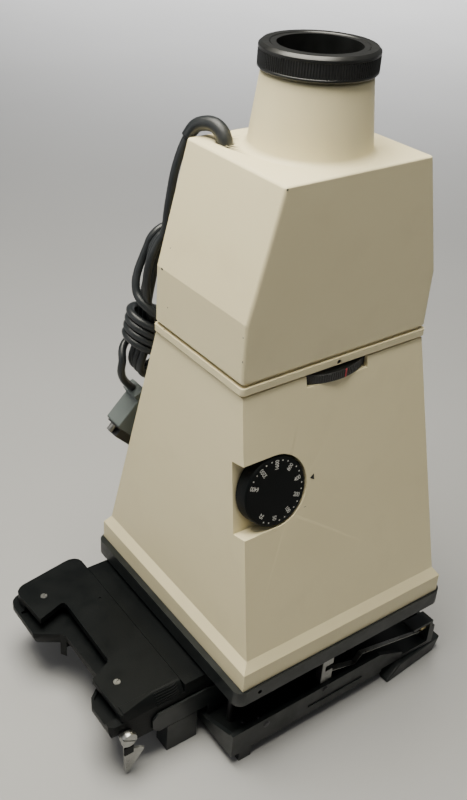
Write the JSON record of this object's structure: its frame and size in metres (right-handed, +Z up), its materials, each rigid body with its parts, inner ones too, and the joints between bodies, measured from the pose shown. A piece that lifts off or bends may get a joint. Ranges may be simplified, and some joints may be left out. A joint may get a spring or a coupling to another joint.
{
  "type": "large-format microscope camera with film back",
  "caption": "Cream tapered film camera for a microscope's photo tube, cone up, standing on its spring film back with a film holder pushed in and its cable hung in a hank.",
  "frame": {"origin": "centre of the bounding box's bottom face, without the cable, where the back frame's feet and the guide block rest on the table", "axes": "+Z up along the optical axis, out of the bore for the microscope's photo tube; -X the way the film holder is drawn out; -Y the front, with the film speed dial"},
  "size_m": [0.2526, 0.1722, 0.408],
  "materials": {
    "cream_paint": "cream enamel, semi-matt, lightly chipped",
    "black_paint": "black enamel, semi-matt",
    "black_anodised": "black anodised, satin",
    "black_plastic": "fine grained black plastic",
    "matt_black": "matt black inside the light path",
    "steel": "bright, slightly dulled",
    "dark_steel": "blackened",
    "brass": "dull",
    "glass": "coated lens glass",
    "board": "green circuit board with black chips",
    "foam": "black velvet light seal",
    "cable_rubber": "smooth dark grey cable sheath",
    "grey_plastic": "grey moulded plug cover"
  },
  "bodies": {
    "camera": {"upper_housing": "cream_paint", "joint_flange": "cream_paint", "flange_screws": "dark_steel", "hood": "cream_paint", "index_mark": "black_paint", "light_baffle": "matt_black", "tube_sleeve": "black_anodised", "lens_barrel": "matt_black", "front_lens": "glass", "rear_lens": "glass", "lens_mount_plate": "matt_black", "shutter_case": "matt_black", "shutter_lid": "matt_black", "shutter_solenoid": "steel", "beam_splitter": "glass", "light_sensor": "black_plastic", "circuit_board": "board", "dial_encoder": "black_plastic", "film_plate": "black_paint", "plate_screws": "steel", "light_seal": "foam", "guide_posts": "dark_steel", "spring_hangers": "steel", "leaf_spring_front": "steel", "leaf_spring_rear": "steel", "strain_relief": "cable_rubber", "cord_upper": "cable_rubber", "cord_hank": "cable_rubber", "cord_lower": "cable_rubber", "connector_hood": "grey_plastic", "connector_shell": "steel", "connector_screws": "steel"},
    "clamp_ring": {"clamp_ring": "black_anodised", "ring_screws": "dark_steel"},
    "lock_ring": {"lock_ring": "black_anodised"},
    "speed_dial": {"speed_dial": "black_plastic", "dial_spindle": "steel"},
    "shutter_blade_right": {"shutter_blade_upper": "dark_steel"},
    "shutter_blade_left": {"shutter_blade_lower": "dark_steel"},
    "film_back": {"back_frame": "black_paint", "pressure_box": "black_paint", "guide_rail": "black_paint", "frame_rivets": "dark_steel", "spring_bushes": "brass", "release_pivot": "steel"},
    "release_lever": {"release_lever": "black_paint"},
    "film_holder": {"holder_base": "black_plastic", "holder_cover": "black_plastic", "cover_screws": "steel", "pressure_plate": "dark_steel", "lever_screw": "steel"},
    "process_lever": {"process_lever": "steel", "lever_collar": "black_plastic"},
    "roller_upper": {"roller_upper": "steel"},
    "roller_lower": {"roller_lower": "steel"}
  },
  "joints": [
    {"name": "clamp_ring_turn", "type": "hinge", "parent": "camera", "child": "clamp_ring", "pos_m": [0.0272, 0, 0.401], "axis": [0, 0, 1], "range_deg": [0, 120]},
    {"name": "lock_ring_turn", "type": "hinge", "parent": "camera", "child": "lock_ring", "pos_m": [0.0272, 0, 0.2385], "axis": [0, 0, 1], "range_deg": [0, 90]},
    {"name": "speed_dial_turn", "type": "hinge", "parent": "camera", "child": "speed_dial", "pos_m": [-0.0204, -0.05541, 0.182], "axis": [0, -0.9766, 0.2151], "range_deg": [-155, 134]},
    {"name": "shutter_right_turn", "type": "hinge", "parent": "camera", "child": "shutter_blade_right", "pos_m": [0.0512, 0, 0.303], "axis": [0, 0, 1], "range_deg": [0, 60]},
    {"name": "shutter_left_turn", "type": "hinge", "parent": "camera", "child": "shutter_blade_left", "pos_m": [0.0032, 0, 0.301], "axis": [0, 0, 1], "range_deg": [-60, 0]},
    {"name": "back_drop", "type": "slide", "parent": "camera", "child": "film_back", "axis": [0, 0, -1], "range_m": [0, 0.005], "stiffness_N_per_m": 4000, "springref_m": -0.01, "deforming": ["leaf_spring_front", "leaf_spring_rear"]},
    {"name": "release_lever_turn", "type": "hinge", "parent": "film_back", "child": "release_lever", "pos_m": [0.1112, -0.07, 0.005], "axis": [0, 0, 1], "range_deg": [0, 35]},
    {"name": "holder_slide", "type": "slide", "parent": "camera", "child": "film_holder", "axis": [-1, 0, 0], "range_m": [0, 0.165]},
    {"name": "process_lever_turn", "type": "hinge", "parent": "film_holder", "child": "process_lever", "pos_m": [-0.1123, -0.05, 0.0335], "axis": [0, 1, 0], "range_deg": [0, 85]},
    {"name": "roller_upper_turn", "type": "hinge", "parent": "film_holder", "child": "roller_upper", "pos_m": [-0.0908, 0, 0.0424], "axis": [0, 1, 0], "continuous": true},
    {"name": "roller_lower_turn", "type": "hinge", "parent": "film_holder", "child": "roller_lower", "pos_m": [-0.0908, 0, 0.0342], "axis": [0, 1, 0], "continuous": true}
  ],
  "couplings": [
    {"joint": "shutter_left_turn", "follows": "shutter_right_turn", "ratio": -1}
  ]
}
